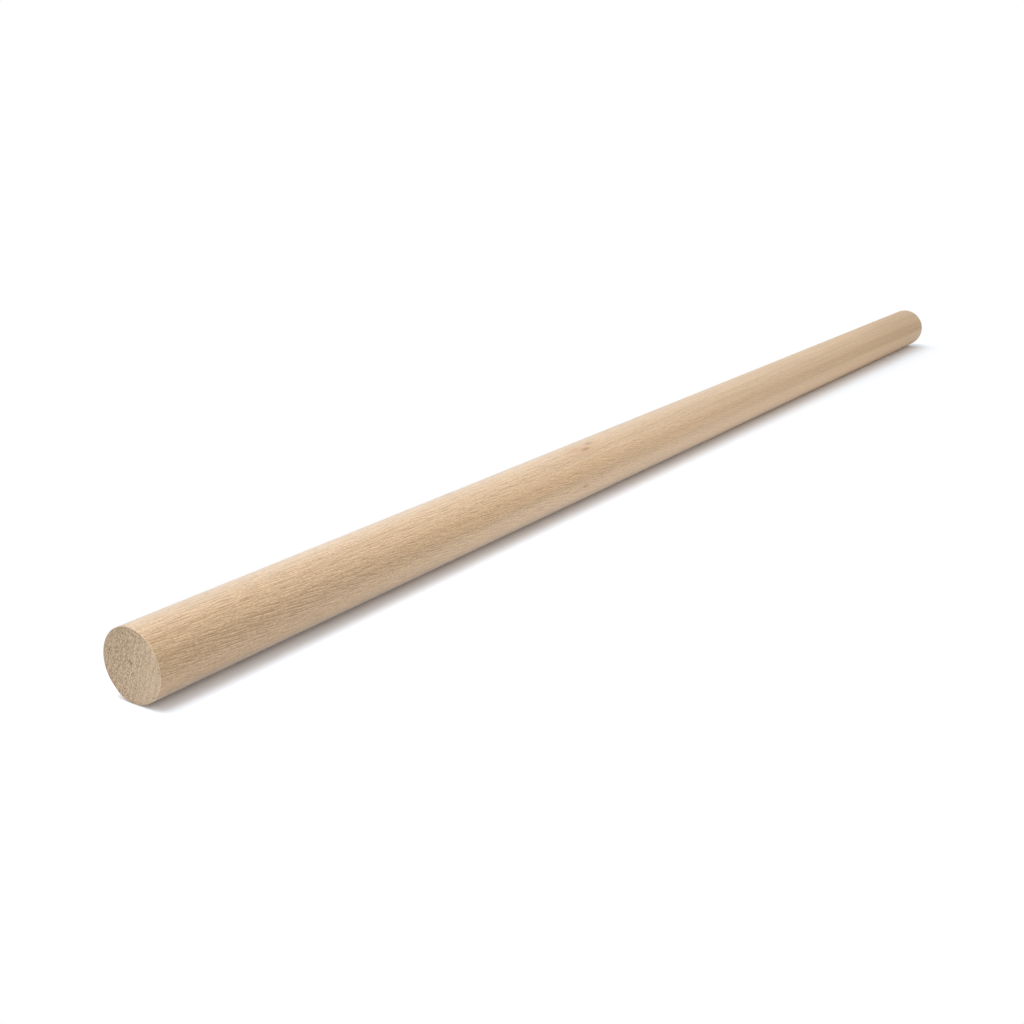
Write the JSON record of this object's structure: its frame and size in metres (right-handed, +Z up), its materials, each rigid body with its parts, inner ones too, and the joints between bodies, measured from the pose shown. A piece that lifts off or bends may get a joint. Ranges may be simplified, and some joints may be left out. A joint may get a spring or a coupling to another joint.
{
  "type": "wooden dowel rod",
  "caption": "Plain round dowel rod of pale unfinished hardwood, turned to one diameter, sawn square at both ends with lightly sanded edges.",
  "frame": {"origin": "on the rod's axis, half way between its two sawn ends", "axes": "+X along the rod's axis, +Z up as the rod lies on a bench"},
  "size_m": [1, 0.035, 0.035],
  "materials": {
    "pale_hardwood": "sanded, unfinished"
  },
  "bodies": {
    "root": {"dowel_rod": "pale_hardwood"}
  },
  "joints": []
}
